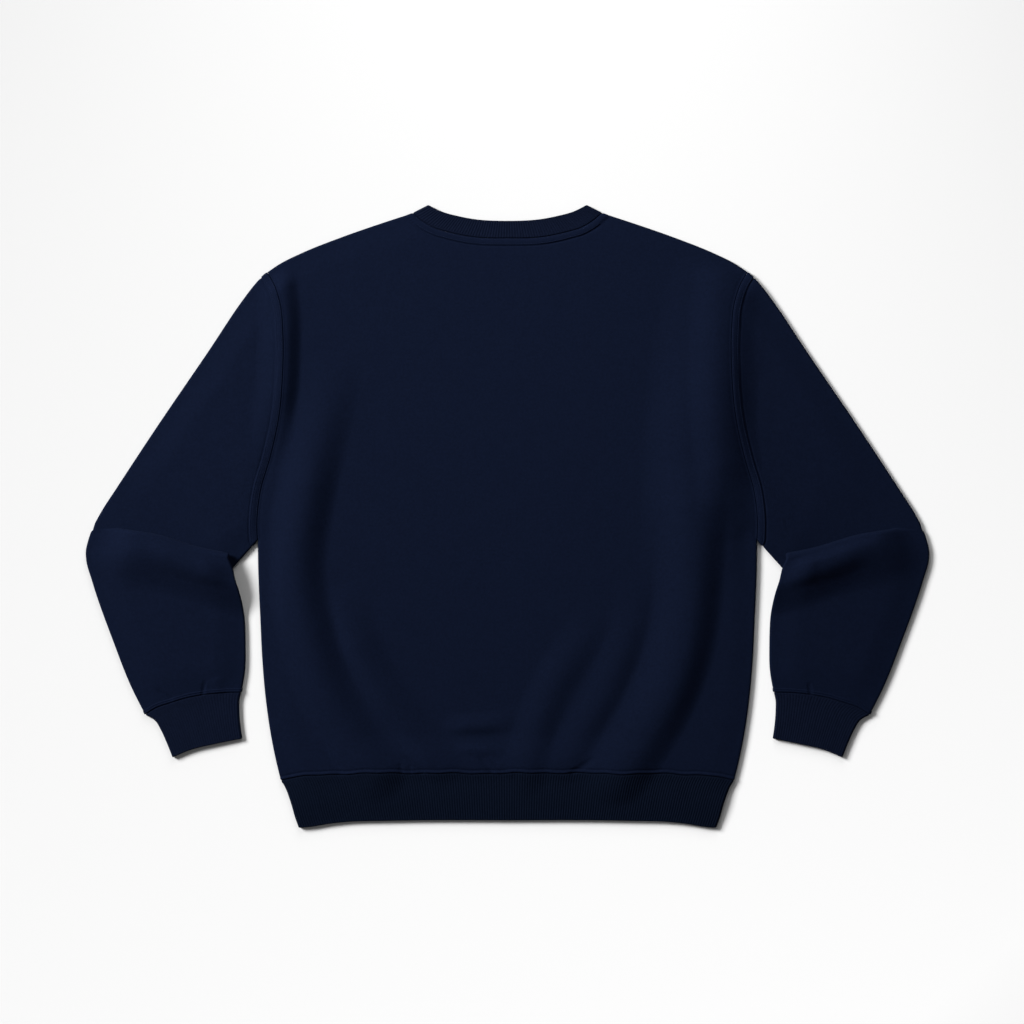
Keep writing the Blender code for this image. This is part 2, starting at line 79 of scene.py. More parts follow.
# Plan of the folded edges and seams. MIDDLE_Y is the middle of the whole outline in these tables.
MIDDLE_Y = -1
SHOULDER = ((109.6, 350.6), (147.9, 338.1), (194.3, 321.9), (240.7, 303.3), (263.9, 291.7),
            (278.4, 281.9))
ARMHOLE = ((289.4, -28.4), (289.8, -8), (286, 27), (274, 69), (264, 113), (259, 170), (259, 212),
           (262.3, 245), (269.7, 267.4), (278.4, 281.9))
SIDE = ((262.7, -306.8), (264.5, -300), (273.2, -260.4), (280.1, -214), (284.2, -168), (286.5, -121),
        (289, -60), (289.4, -28.4))
HEM_SEAM = ((262.7, -306.8), (245, -303), (200, -299.8), (100, -298.5), (0, -298.5))
HEM_SIDE = ((262.7, -306.8), (258.7, -312.6), (251.7, -330), (244.8, -353.2), (241.5, -361.9))
HEM_EDGE = ((241.5, -361.9), (228, -360.8), (209, -357.6), (189, -355.3), (139, -353.8), (0, -353.2))
BACK_NECK_SEAM = ((109.6, 350.6), (95.7, 339.1), (85.1, 333.3), (71.5, 329.1), (40.8, 322.7),
                  (0, 321.2))
BACK_NECK_EDGE = ((91.5, 359.9), (77.7, 352.8), (56.7, 346.9), (40.8, 343.8), (0, 341.4))
FRONT_NECK_SEAM = ((109.6, 350.6), (104.5, 318), (88, 283), (60, 256), (30, 243), (0, 239))
FRONT_NECK_EDGE = ((91.5, 359.9), (86.5, 328), (72, 298), (49, 275), (25, 264), (0, 260))
SLEEVE_OUTER = ((278.4, 281.9), (288.3, 273.2), (298.1, 261.6), (306.8, 250), (345.7, 192),
                (408.9, 99.2), (454.7, 29.6), (469.8, 6.4), (479.4, -11))
SLEEVE_INNER = ((289.4, -28.4), (303.3, -44), (317.5, -59.7), (325.5, -68.5))
CREASE = ((479.4, -11), (445, -15.5), (406.5, -21.5), (355, -36.5), (321, -43.5))
FOREARM_OUTER = ((482, -16.8), (486, -28.4), (488.9, -42), (488.4, -51.6), (482, -74.8),
                 (457.6, -144.4), (434.4, -202.4), (425.7, -219.8), (420, -230.5))
FOREARM_INNER = ((322.2, -49.3), (317.5, -60), (313.8, -75), (310.3, -86.4), (305.7, -109.6),
                 (303.5, -150), (304.2, -180), (308.5, -204.5))
CUFF_SEAM = ((420, -230.5), (406, -221.9), (391.5, -217), (372, -211), (352, -207.3), (331, -205),
             (308.5, -204.5))
CUFF_OUTER = ((419.4, -231.2), (409, -237), (401.4, -248.8), (396.1, -260.4), (388, -280.5))
CUFF_INNER = ((308.9, -205.2), (310.9, -214), (311, -225), (310.3, -237.2), (307.5, -258.5))
CUFF_EDGE = ((388, -280.5), (366.7, -271.5), (340.7, -265.2), (307.5, -258.5))

# The hem seam wavers between its ends: each wave's height and reach in millimetres, and where
# in its turn it starts. It lies still near its two ends.
HEM_WAVES = ((0.55, 13, 0.6), (0.5, 5.6, 0), (0.35, 31, 0))
HEM_STILL_AT = 263 * MM
HEM_STILL_OVER = 60 * MM
# How close to its two ends the hem band's section bends.
HEM_BEND = 6

# Folds of the upper side. Each is a soft ridge, or a trough where its height is below zero: its
# crest, how far it falls away to the left and right of the crest's direction, its height, and
# its strength at its first and last point, where 1 is its strength in the middle.
FOLD_STRENGTH_AT = (0, 0.3, 0.6, 1)
FOLDS = (
    # crest, left width, right width, height, first, last
    # The long folds that frame the body.
    (((-202, 190), (-209, 130), (-224, 67), (-235, 10), (-243, -40), (-243, -80), (-231, -135),
      (-210, -202), (-182, -255), (-152, -296)), 36, 40, 11, 0, 0.5),
    (((-196, -80), (-180, -140), (-150, -200), (-112, -250), (-84, -292)), 34, 20, 5.5, 0, 0.3),
    (((22, -300), (30, -258), (44, -218), (62, -182), (86, -144), (108, -108)), 30, 26, 3.6, 0.6, 0),
    (((62, -292), (86, -252), (110, -210), (130, -165), (144, -118), (150, -70)), 28, 24, 3.2, 0.4, 0),
    (((132, -300), (160, -256), (184, -214), (201, -170), (211, -124), (217, -63), (220, -2),
      (222, 60)), 50, 36, 11, 0.6, 0),
    (((210, -90), (215, -30), (217, 60), (222, 130), (230, 191), (240, 251)), 64, 70, 10, 0, 0.4),
    (((258, -30), (252, 40), (246, 110), (244, 180), (246, 230), (250, 268)), 38, 46, 8, 0, 0.5),
    # The body's rise to its left armhole.
    (((-262, 268), (-258, 235), (-258, 200), (-260, 150), (-266, 105), (-276, 60)), 20, 34, 9, 0.8, 0),
    # The blouse of the body above the hem band.
    (((-240, -290), (-120, -286), (0, -286), (120, -286), (240, -290)), 34, 24, 2.2, 0, 0),
    # Low folds above the middle of the hem.
    (((-74, -243), (-30, -243), (10, -240)), 16, 13, 3, 0, 0),
    (((-60, -270), (-3, -272)), 9, 9, 1.2, 0, 0),
    # Puckers at the hem seam.
    (((-34, -278), (-19, -296)), 6, 4, -1, 0, 1),
    (((-12, -284), (2, -297)), 8, 8, 0.8, 0, 1),
    (((-120, -277), (-98, -296)), 4, 5, -0.9, 0, 1),
    (((-124, -286), (-123, -298)), 3, 3, -0.7, 0, 1),
    (((-114, -288), (-112, -298)), 3, 3, -0.7, 0, 1),
    (((-219, -256), (-194, -297)), 8, 8, -0.8, 0, 1),
    (((75, -297), (104, -279)), 5, 6, -0.9, 1, 0),
    # Elbows.
    (((-322, -62), (-355, -54), (-406, -38), (-440, -30)), 26, 12, 5, 1.8, 0),
    (((322, -62), (355, -54), (406, -38), (440, -30)), 12, 26, 6.5, 1.8, 0),
    # Puckers at the cuff seams.
    (((-409, -199), (-391, -213)), 5, 5, -1, 0, 1),
    (((-350, -190), (-353, -207)), 3.5, 3.5, -1, 0, 1),
    (((-338, -186), (-333, -205)), 12, 12, 1, 0, 1),
    (((349, -192), (351, -207)), 4, 4, -1, 0, 1),
)
# Folds of the underside, which stays on the floor elsewhere.
UNDER_FOLDS = (
    (((-196, 150), (-214, 20), (-190, -120), (-135, -298)), 30, 26, 0.9, 0, 0.5),
    (((142, -298), (196, -180), (214, -40), (208, 60)), 26, 32, 0.9, 0.5, 0),
    (((-30, -298), (-14, -225)), 12, 14, 0.7, 0.6, 0),
    (((58, -298), (88, -215)), 13, 12, 0.7, 0.6, 0),
    (((320, 110), (356, 40), (372, 5)), 16, 20, 0.8, 0, 0),
    (((-330, 100), (-372, 28)), 15, 20, 0.8, 0, 0),
    (((350, -150), (362, -203)), 10, 12, 0.7, 0, 0.6),
    (((-372, -140), (-360, -205)), 12, 10, 0.7, 0, 0.6),
)

# How much of a seam's or rib's height is left where it presses on the surface below.
PRESSED = 0.12

# Seams. A band or bead stands out between its first and last distance from the seam line, and a
# groove follows it. Each is worked out only within its reach.
SEAM_ROUND = 0.9 * MM
EDGE_ROUND = 1.15 * MM
# first, last, height, softness of its edges, middle of its groove
NECK_BAND = (0.5 * MM, 7.4 * MM, 1.1 * MM, 0.9 * MM, 8.9 * MM)
ARMHOLE_BAND = (0.4 * MM, 8.2 * MM, 0.8 * MM, 0.9 * MM, 9.8 * MM)
HEM_BEAD = (0.3 * MM, 2.7 * MM, 0.8 * MM, 0.7 * MM, 4.2 * MM)
GROOVE_DEPTH = 0.5 * MM
GROOVE_WIDTH = 1.9 * MM
BAND_REACH = 14 * MM
BEAD_REACH = 8 * MM
# The body's side of an armhole has a groove only: how deep it is, and its middle and width.
ARMHOLE_GROOVE = (0.35 * MM, 2.6 * MM, 1.5 * MM)
ARMHOLE_GROOVE_REACH = 6 * MM
# A sleeve's end has two raised lines with a groove between them.
CUFF_BEAD_HEIGHT = 0.9 * MM
CUFF_BEAD_LAST = 4.6 * MM
CUFF_BEAD_SOFT = 1 * MM
CUFF_GROOVE = (0.55 * MM, 2.5 * MM, 0.8 * MM)
NEEDLES = (1.7 * MM, 6.7 * MM)
NEEDLE_WIDTH = 0.7 * MM
NEEDLE_DEPTH = 0.35 * MM

RIB_PITCH = 3.05 * MM
RIB_HEIGHT = 0.5 * MM
RIB_PROFILE = np.array([0, 0.55, 0.92, 1, 0.92, 0.55])
RIBS_GROW_OVER = 2.5 * MM
COLLAR_RIBS_GROW_OVER = 1.6 * MM
CUFF_RIB_SHARE = 0.65
# The share of the collar's height at which its ribs are RIB_PITCH apart.
COLLAR_RIBS_AT = 0.6

STITCH_PITCH = 3 * MM
STITCH_SHARE = 0.72
STITCH_WIDTH = 0.5 * MM
STITCH_HEIGHT = 0.3 * MM
STITCHED_ROWS = 40
NECK_STITCHED_TO = 107 * MM

# A normal that faces back further than this is turned round.
BACKWARDS = -0.2

# How finely a section is divided: round each folded edge, and along the top and the underside.
TURNS = 6
RIB_TURNS = 9
SLEEVE_OVER = 130
SLEEVE_UNDER = 80

# How finely a piece's rows are divided, as (end, step) stretches or, for rib pieces, as the
# first stretch, the step between, and the reach and step of the last stretch.
BACK_STEPS = {"across": 2.1 * MM, "up": 2.5 * MM, "hem": 1.3 * MM, "seam": 0.75 * MM}
FRONT_STEPS = {"across": 3.6 * MM, "up": 4 * MM, "hem": 3 * MM, "seam": 1.1 * MM}
FINE_AT_HEM = 6 * MM
CLOSE_ABOVE_HEM = 34 * MM
FINE_AT_SHOULDER = 16 * MM
UPPER_STEPS = ((11 * MM, 0.55 * MM), (330 * MM, 2.4 * MM))
FOREARM_STEPS = ((169 * MM, 1.7 * MM), (175 * MM, 0.6 * MM))
HEM_STEPS = ((3 * MM, 0.75 * MM), 3.4 * MM, (3 * MM, 0.4 * MM))
COLLAR_STEPS = ((2.4 * MM, 0.4 * MM), 1.7 * MM, (2 * MM, 0.5 * MM))
CUFF_STEPS = ((3 * MM, 0.6 * MM), 2.6 * MM, (3 * MM, 0.4 * MM))
COLLAR_HEIGHT = 20 * MM

# How many outer rows and columns, or either, each one of the inner wall stands for.
PANEL_STRIDE = 9
SLEEVE_STRIDE = (3, 8)
RIB_STRIDE = (4, 18)

# How many places a line is read at, to blend it with another or to run round it, and the step
# for its direction.
SAMPLES = 90
SHOULDER_SAMPLES = 80
NECK_SAMPLES = 160
HEM_SAMPLES = 400
PROBE = 0.5 * MM

# Knit, in turn: its name and colour, how wide a column of stitches is, and how high a row.
FLEECE = ("navy_fleece", (0.0030, 0.0052, 0.0146), 0.95 * MM, 0.75 * MM)
RIB = ("navy_rib", (0.0030, 0.0049, 0.0130), 1 * MM, 0.8 * MM)
# The hem band's knit is the rib knit made darker: painted shade, for the self-shadow of its ribs and
# the dimmer lower end of the garment.
SHADED_HEM_RIB = ("navy_hem_rib_painted_shade", (0.0023, 0.0041, 0.0101), 1 * MM, 0.8 * MM)
THREAD_NAVY = (0.008, 0.0125, 0.031)
MATTE = {"Specular IOR Level": 0.01, "Sheen Roughness": 0.4, "Sheen Tint": (0.25, 0.35, 0.75, 1)}
# How rough and how much sheen, and how strong and high the bump.
KNIT_LOOK, KNIT_BUMP = (0.9, 0.02), (0.5, 0.25 * MM)
THREAD_LOOK, THREAD_BUMP = (0.6, 0.1), (0.3, 0.1 * MM)
PAPER_LOOK, PAPER_BUMP = (0.9, 0), (0.05, 0.1 * MM)
# The scales of the noises, to the metre.
MOTTLE_SCALE, BROAD_SCALE, FUZZ_SCALE, THREAD_SCALE, PAPER_SCALE = 420, 60, 1600, 3000, 900
# A knit's range of colour and where in the noise it ends, and the share of the broad noise.
MOTTLE, MOTTLE_ENDS, BROAD_SHARE = 0.12, (0.3, 0.7), 0.16
# How far a column of stitches slants its loops, and the heights of loops and fuzz.
LOOP_SLANT, LOOP_HEIGHT, FUZZ_HEIGHT = 2.2, 0.35, 0.8
FUZZ_ROUGHENS, LEAST_ROUGH = 0.12, 0.82
SHARP = np.radians(60)

# The floor's paleness at the middle, how it grows along X and Y, to the metre, and its most.
PAPER, PAPER_RISE, PALEST = 0.64, (0.354, -0.44), 0.98
FLOOR_HALF = 4
FLOOR_LOW = -0.3 * MM

# name, azimuth, elevation, distance, size, power
LIGHTS = (
    ("key", 28, 33, 4.5, 1.5, 420),
    ("fill", 90, 35, 1.3, 0.8, 8.5),
)
WORLD = (0.15, 0.15, 0.15, 1)
# The camera looks straight down at this place from this height, over a square this wide.
VIEW_MIDDLE = (0.0052, 0.0051)
VIEW_HEIGHT = 3.2
VIEW_WIDTH = 1.188
SENSOR = 36


# Lines and distances.


def ease(x):
    """0 below 0, 1 above 1, and smooth between."""
    x = np.clip(x, 0, 1)
    return x * x * (3 - 2 * x)


def curve(points, steps=14):
    """A smooth line through plan points in millimetres, as close points in metres."""
    p = (np.array(points, float) - (0, MIDDLE_Y)) * MM
    if len(p) == 2:
        return p
    step = np.linalg.norm(np.diff(p, axis=0), axis=1)
    slope = np.diff(p, axis=0) / step[:, None]
    before, after = step[:-1, None], step[1:, None]
    inner = (slope[:-1] * after + slope[1:] * before) / (before + after)
    first, last = (1.5 * slope[k] - 0.5 * inner[k] for k in (0, -1))
    tangent = np.vstack([first, inner, last])
    t = np.linspace(0, 1, steps, endpoint=False)[:, None]
    spans = []
    for k, length in enumerate(step):
        a, b = p[k], p[k + 1]
        spans.append(
            a * (2 * t**3 - 3 * t**2 + 1)
            + b * (3 * t**2 - 2 * t**3)
            + length * tangent[k] * (t**3 - 2 * t**2 + t)
            + length * tangent[k + 1] * (t**3 - t**2)
        )
    return np.vstack(spans + [p[-1:]])


def mirrored(line):
    """A half outline that ends on x = 0, carried on to its mirror image, from -X to +X."""
    return np.vstack([line * (-1, 1), line[-2::-1]])


def both_sides(points):
    line = curve(points)
    return [line, line * (-1, 1)]


def steps_of(line):
    return np.linalg.norm(np.diff(line, axis=0), axis=1)


def length_of(line):
    return steps_of(line).sum()


def direction(line, distances):
    """A line's unit direction at these distances along it."""
    length = length_of(line)
    ahead = along(line, np.clip(distances + PROBE, 0, length))
    behind = along(line, np.clip(distances - PROBE, 0, length))
    way = ahead - behind
    return way / np.linalg.norm(way, axis=-1, keepdims=True)


def along(line, distances, aside=0.0):
    """Points at these distances along a line, moved aside to the left of its direction."""
    run = np.concatenate([[0], np.cumsum(steps_of(line))])
    point = np.stack([np.interp(distances, run, line[:, k]) for k in range(line.shape[1])], axis=-1)
    if aside:
        way = direction(line, distances)
        point = point + aside * np.stack([-way[..., 1], way[..., 0]], axis=-1)
    return point


def nearest(points, line):
    """Each point's distance to a line, how far along it that is as a share of its length, and how
    far round to the left the point lies: 1 left of the line, -1 right of it, and between past
    its ends."""
    start, way = line[:-1], np.diff(line, axis=0)
    size = (way**2).sum(axis=1)
    t = np.clip(((points[:, None] - start) * way).sum(axis=-1) / size, 0, 1)
    off = points[:, None] - start - t[..., None] * way
    gap = np.sqrt((off**2).sum(axis=-1))
    pick = gap.argmin(axis=1)
    rows = np.arange(len(points))
    run = np.concatenate([[0], np.cumsum(np.sqrt(size))])
    share = (run[pick] + t[rows, pick] * np.sqrt(size[pick])) / run[-1]
    nearest_off = off[rows, pick]
    cross = way[pick, 0] * nearest_off[:, 1] - way[pick, 1] * nearest_off[:, 0]
    found = gap[rows, pick]
    return found, share, cross / np.maximum(np.sqrt(size[pick]) * found, 1e-9)


def around(points, line, reach):
    """Which points lie in a line's box, grown by reach on every side."""
    return ((points > line.min(axis=0) - reach) & (points < line.max(axis=0) + reach)).all(axis=1)


def distance_to(points, lines, reach):
    """Each plan point's distance to the nearest of these lines, or reach where it is further."""
    found = np.full(len(points), reach)
    for line in lines:
        close = around(points, line, reach)
        if close.any():
            found[close] = np.minimum(found[close], nearest(points[close], line)[0])
    return found


def grid_distance(points, lines, reach=BAND_REACH):
    """The same for each point of a grid, in plan."""
    return distance_to(points[..., :2].reshape(-1, 2), lines, reach).reshape(points.shape[:2])


def graded(*stretches):
    """Places from 0 through these stretches, each (end, step): about a step apart up to its end."""
    places = [0.0]
    for end, step in stretches:
        count = max(1, round((end - places[-1]) / step))
        places += list(np.linspace(places[-1], end, count + 1)[1:])
    return np.array(places)


def finer_ends(length, first, step, last):
    """Places along a length: a first (end, step), a step between, and a last (reach, step)."""
    return graded(first, (length - last[0], step), (length, last[1]))


def mixed(first, last, share, count=SAMPLES):
    """The line that lies this share of the way from one line to another."""
    t = np.linspace(0, 1, count)
    start, end = along(first, t * length_of(first)), along(last, t * length_of(last))
    return (1 - share) * start + share * end


def grid_on(bottom, top, left, right, across, up):
    """A patch of plan points between four edges: across and up are each column's and row's share."""
    left, right = left.copy(), right.copy()
    left[0], left[-1], right[0], right[-1] = bottom[0], top[0], bottom[-1], top[-1]
    u, v = across[None, :, None], up[:, None, None]
    sides = (1 - u) * left[:, None] + u * right[:, None]
    ends = (1 - v) * bottom[None] + v * top[None]
    low, high = (1 - u) * bottom[0] + u * bottom[-1], (1 - u) * top[0] + u * top[-1]
    return sides + ends - (1 - v) * low - v * high


# Folds and lift.

ROLLED = both_sides(SHOULDER) + both_sides(SIDE)
EDGES = ROLLED + both_sides(BACK_NECK_EDGE) + both_sides(HEM_EDGE)


def fold_height(points, folds):
    """The height of a table's folds at plan points."""
    height = np.zeros(len(points))
    for crest, left, right, top, first, last in folds:
        line = curve(crest, steps=6)
        close = around(points, line, max(left, right) * MM)
        if not close.any():
            continue
        gap, share, side = nearest(points[close], line)
        width = (left * (1 + side) + right * (1 - side)) / 2 * MM
        strength = np.interp(share, FOLD_STRENGTH_AT, (first, 1, 1, last))
        height[close] += top * MM * strength * np.clip(1 - (gap / width) ** 2, 0, 1) ** 2
    return height


def inside_edges(points):
    """1 in the middle of the body and 0 at its outline."""
    return ease(distance_to(points, EDGES, BODY_LIFT_WIDTH) / BODY_LIFT_WIDTH)


def body_lift(points):
    """How far the back panel and what is sewn round it stand above two flat layers."""
    return (BODY_LIFT + fold_height(points, FOLDS)) * inside_edges(points)


def under_lift(points):
    """How far the underside's folds stand off the floor."""
    return fold_height(points, UNDER_FOLDS) * inside_edges(points)


def crown(share, width):
    """1 in the middle of a sleeve and 0 at its folded edges."""
    return ease(np.minimum(share, 1 - share) * width / SLEEVE_LIFT_WIDTH)


# Relief of seams and ribs, measured out of the cloth.


def dip(distance, middle, width):
    """1 at the middle of a groove and 0 at its edges."""
    return np.clip(1 - ((distance - middle) / width) ** 2, 0, 1) ** 2


def rounded(distance, radius):
    """How far a rounded edge drops at a distance in from it."""
    return radius * (1 - np.sqrt(1 - (1 - np.clip(distance / radius, 0, 1)) ** 2))


def groove(distance, sizes):
    """A groove along a seam, from its depth, middle and width."""
    depth, middle, width = sizes
    return -depth * dip(distance, middle, width)


def band(distance, sizes):
    """A raised band along a seam, with a groove past its far edge."""
    first, last, height, soft, middle = sizes
    raised = ease((distance - first) / soft) * ease((last + soft - distance) / soft)
    return height * raised + groove(distance, (GROOVE_DEPTH, middle, GROOVE_WIDTH))


def needle_lines(distance):
    """The two fine grooves where a seam is stitched down."""
    return sum(groove(distance, (NEEDLE_DEPTH, needle, NEEDLE_WIDTH)) for needle in NEEDLES)


def ribs(columns):
    """The height of rib-knit columns, one rib for each turn through the profile."""
    return RIB_HEIGHT * RIB_PROFILE[np.arange(columns) % len(RIB_PROFILE)]


def rib_columns(length):
    """How many stretches a ribbed section of this length has between its folded edges."""
    return len(RIB_PROFILE) * round((length - 2 * HALF) / RIB_PITCH)


# Meshes.


def surface_places(points):
    """How far across and along the cloth each point of a grid lies, in metres."""
    steps = np.diff(points, axis=1, prepend=points[:, :1]), np.diff(points, axis=0, prepend=points[:1])
    across, up = (np.cumsum(np.linalg.norm(step, axis=2), axis=1 - k) for k, step in enumerate(steps))
    return np.stack([across, up, 0 * across], axis=-1)


def rim_faces(outer, inner, picks):
    """Faces from an edge's fine outer points to its inner ones, which stand for some of them."""
    faces = []
    for k in range(len(picks) - 1):
        faces += [(outer[j + 1], outer[j], inner[k]) for j in range(picks[k], picks[k + 1])]
        faces.append((outer[picks[k + 1]], inner[k], inner[k + 1]))
    return faces


def grid_quads(grid):
    corners = (grid[:-1, :-1], grid[:-1, 1:], grid[1:, 1:], grid[1:, :-1])
    return np.stack(corners, axis=-1).reshape(-1, 4)


def pressed(points):
    """What would stand out below the floor is pressed nearly flat."""
    flatter = points.copy()
    flatter[..., 2] *= np.where(points[..., 2] < 0, PRESSED, 1)
    return flatter


def cloth_piece(name, points, outward, relief, wall, picks, closed, material):
    """One closed wall of cloth: a fine outer face with its relief, a plainer inner one, and the
    rims between. picks are the rows and columns that the inner face keeps."""
    rows, columns = picks
    skin = pressed(points + outward * relief[..., None])
    kept = np.ix_(rows, columns)
    lining = (points - wall * outward)[kept]
    outer = np.arange(skin[..., 0].size).reshape(skin.shape[:2])
    inner = outer.size + np.arange(lining[..., 0].size).reshape(lining.shape[:2])
    if closed:
        columns = np.append(columns, outer.shape[1])
        outer, inner = np.hstack([outer, outer[:, :1]]), np.hstack([inner, inner[:, :1]])
    faces = grid_quads(outer).tolist() + grid_quads(inner)[:, ::-1].tolist()
    faces += rim_faces(outer[0], inner[0], columns)
    faces += rim_faces(outer[-1][::-1], inner[-1][::-1], (columns[-1] - columns)[::-1])
    if not closed:
        faces += rim_faces(outer[::-1, 0], inner[::-1, 0], (rows[-1] - rows)[::-1])
        faces += rim_faces(outer[:, -1], inner[:, -1], rows)
    a, b, d = skin[:-1, :-1], skin[:-1, 1:], skin[1:, :-1]
    if (np.cross(b - a, d - a) * outward[:-1, :-1]).sum() < 0:
        faces = [face[::-1] for face in faces]
    mesh = mesh_of(name, np.vstack([skin.reshape(-1, 3), lining.reshape(-1, 3)]), faces, material)
    places = surface_places(points)
    cloth = mesh.attributes.new("cloth", "FLOAT_VECTOR", "POINT")
    both = np.vstack([places.reshape(-1, 3), places[kept].reshape(-1, 3)])
    cloth.data.foreach_set("vector", both.ravel())
    mesh.shade_smooth()
    mesh.set_sharp_from_angle(angle=SHARP)
    return linked(name + "_cloth", mesh)


def mesh_of(name, points, faces, material):
    mesh = bpy.data.meshes.new(name)
    mesh.from_pydata(points.tolist(), [], faces)
    mesh.materials.append(material)
    return mesh


def linked(name, data):
    thing = bpy.data.objects.new(name, data)
    bpy.context.scene.collection.objects.link(thing)
    return thing


def grid_outward(points, upwards):
    """The unit direction out of an open grid of points at each of them, even at a corner where
    its rows and columns hardly differ."""
    normal = np.cross(np.gradient(points, axis=1), np.gradient(points, axis=0))
    normal /= np.maximum(np.linalg.norm(normal, axis=-1, keepdims=True), 1e-12)
    normal *= np.sign(normal[..., 2].sum())
    normal[normal[..., 2] < BACKWARDS] *= -1
    return normal * upwards


def strided(count, stride):
    """Every stride-th of count places, with the last."""
    return np.unique(np.append(np.arange(0, count, stride), count - 1))


# The body.


def body_plan(neck_seam, neck_gap, steps):
    """The plan of a body panel as a grid. Rows run up from the hem, and the last one follows
    shoulder, neck and shoulder."""
    turn = HALF * (1 - np.cos(np.linspace(0, np.pi / 2, TURNS + 1)))
    shoulder, armhole, side = curve(SHOULDER), curve(ARMHOLE), curve(SIDE)
    neck, hem = mirrored(curve(neck_seam)), hem_seam_line()
    corner = 2 * neck_gap
    half_top = along(shoulder, np.linspace(corner, length_of(shoulder), SHOULDER_SAMPLES))
    middle = along(neck, np.linspace(0, length_of(neck), NECK_SAMPLES)[1:-1], -neck_gap)
    top = np.vstack([half_top[::-1] * (-1, 1), middle, half_top])

    shoulder_run, run = length_of(half_top), length_of(top)
    places = turn[-1] + graded((shoulder_run - turn[-1], steps["across"]))
    half = np.concatenate([turn[:-1], places])
    neck_places = shoulder_run + graded((run - 2 * shoulder_run, steps["across"]))[1:-1]
    across = np.concatenate([half, neck_places, run - half[::-1]]) / run

    side_run, armhole_run = length_of(side), length_of(armhole)
    side_places = graded(
        (FINE_AT_HEM, steps["seam"]), (CLOSE_ABOVE_HEM, steps["hem"]), (side_run, steps["up"])
    )
    armhole_places = graded(
        (armhole_run - FINE_AT_SHOULDER, steps["up"]), (armhole_run - turn[-1], steps["seam"])
    )
    armhole_places = np.concatenate([armhole_places[1:], armhole_run - turn[-2::-1]])
    up_places = np.concatenate([side_places, side_run + armhole_places])
    right = np.vstack([along(side, side_places), along(armhole, armhole_places, GAP / 2)])
    up = up_places / up_places[-1]
    bottom_edge = along(hem, across * length_of(hem), GAP / 2)
    return grid_on(bottom_edge, along(top, across * run), right * (-1, 1), right, across, up)


def hem_seam_line():
    """The hem seam, which wavers a little between its two ends."""
    line = mirrored(curve(HEM_SEAM))
    x = line[:, 0]
    free = ease((HEM_STILL_AT - np.abs(x)) / HEM_STILL_OVER)
    wave = sum(height * np.sin(x / (reach * MM) + start) for height, reach, start in HEM_WAVES)
    return line + np.column_stack([0 * x, wave * free * MM])


def body_panel(name, neck_seam, neck_gap, steps, top, material):
    """The back panel (top) or the front one."""
    plan = body_plan(neck_seam, neck_gap, steps)
    edge = grid_distance(plan, ROLLED, HALF)
    sine = np.sqrt(np.clip(1 - (1 - edge / HALF) ** 2, 0, 1))
    way, lift_at = (1, body_lift) if top else (-1, under_lift)
    lift = lift_at(plan.reshape(-1, 2)).reshape(edge.shape)
    points = np.dstack([plan, HALF + way * (GAP / 2 + (HALF - GAP / 2) * sine) + lift])

    neck = grid_distance(plan, [mirrored(curve(neck_seam))])
    armhole = grid_distance(plan, both_sides(ARMHOLE), ARMHOLE_GROOVE_REACH)
    hem = grid_distance(plan, [hem_seam_line()], BEAD_REACH)
    relief = band(neck, NECK_BAND) + needle_lines(neck) + band(hem, HEM_BEAD)
    relief += groove(armhole, ARMHOLE_GROOVE)
    relief -= sum(rounded(distance, SEAM_ROUND) for distance in (neck, armhole, hem))
    relief *= sine
    picks = tuple(strided(count, PANEL_STRIDE) for count in edge.shape)
    outward = grid_outward(points, way)
    piece = cloth_piece(name, points, outward, relief, WALL, picks, False, material)
    return piece, points + outward * relief[..., None], outward


# Tubes.


def turned(length, turns, middle):
    """Distances along a section from one folded edge to the other, with the sine and the signed
    cosine of the way that its wall faces there."""
    angle = np.linspace(0, np.pi / 2, turns + 1)
    turn = HALF * (1 - np.cos(angle))
    inner = HALF + (length - 2 * HALF) * np.linspace(0, 1, middle + 1)[1:-1]
    distance = np.concatenate([turn, inner, length - turn[::-1]])
    sine = np.concatenate([np.sin(angle), np.ones(len(inner)), np.sin(angle[::-1])])
    cosine = np.concatenate([-np.cos(angle), np.zeros(len(inner)), np.cos(angle[::-1])])
    return distance, sine, cosine


def lying_flat(line, distances, aside=0.0):
    """The middle and the upward direction of a section that lies flat on its plan line."""
    plan = along(line, distances, aside)
    middle = np.column_stack([plan, np.full(len(plan), HALF)])
    return middle, np.tile([0.0, 0.0, 1.0], (len(plan), 1))


def ring(lines, sizes, lift_at, make=lying_flat, aside=0.0):
    """One ring of a flattened tube: its points and the direction out of its wall at each, over
    the top from one folded edge to the other and back underneath. lines are its plan on top and
    underneath, and sizes how finely it turns and runs on each."""
    turns, over, under = sizes
    found = []
    for line, way, middle in zip(lines, (1, -1), (over, under)):
        length = length_of(line)
        distance, sine, cosine = turned(length, turns, middle)
        centre, up = make(line, distance, aside)
        ahead = np.column_stack([direction(line, distance), np.zeros(len(distance))])
        lift = lift_at(distance / length, centre[:, :2], way) * sine
        outward = way * up * sine[:, None] + ahead * cosine[:, None]
        found.append((centre + up * (way * HALF * sine + lift)[:, None], outward))
    (over_points, over_out), (under_points, under_out) = found
    points = np.vstack([over_points, under_points[1:-1][::-1]])
    return points, np.vstack([over_out, under_out[1:-1][::-1]])


def ring_picks(sizes, stride):
    """Which of a ring's points its plainer inner wall keeps."""
    turns = sizes[0]
    over, under = (middle + 2 * turns + 1 for middle in sizes[1:])
    ends = np.array([0, turns // 2, turns])
    kept = []
    for count in (over, under):
        between = np.arange(turns + stride, count - turns - stride // 2, stride)
        kept.append(np.concatenate([ends, between, count - 1 - ends[::-1]]))
    return np.concatenate([kept[0], over + under - 2 - kept[1][1:-1][::-1]])


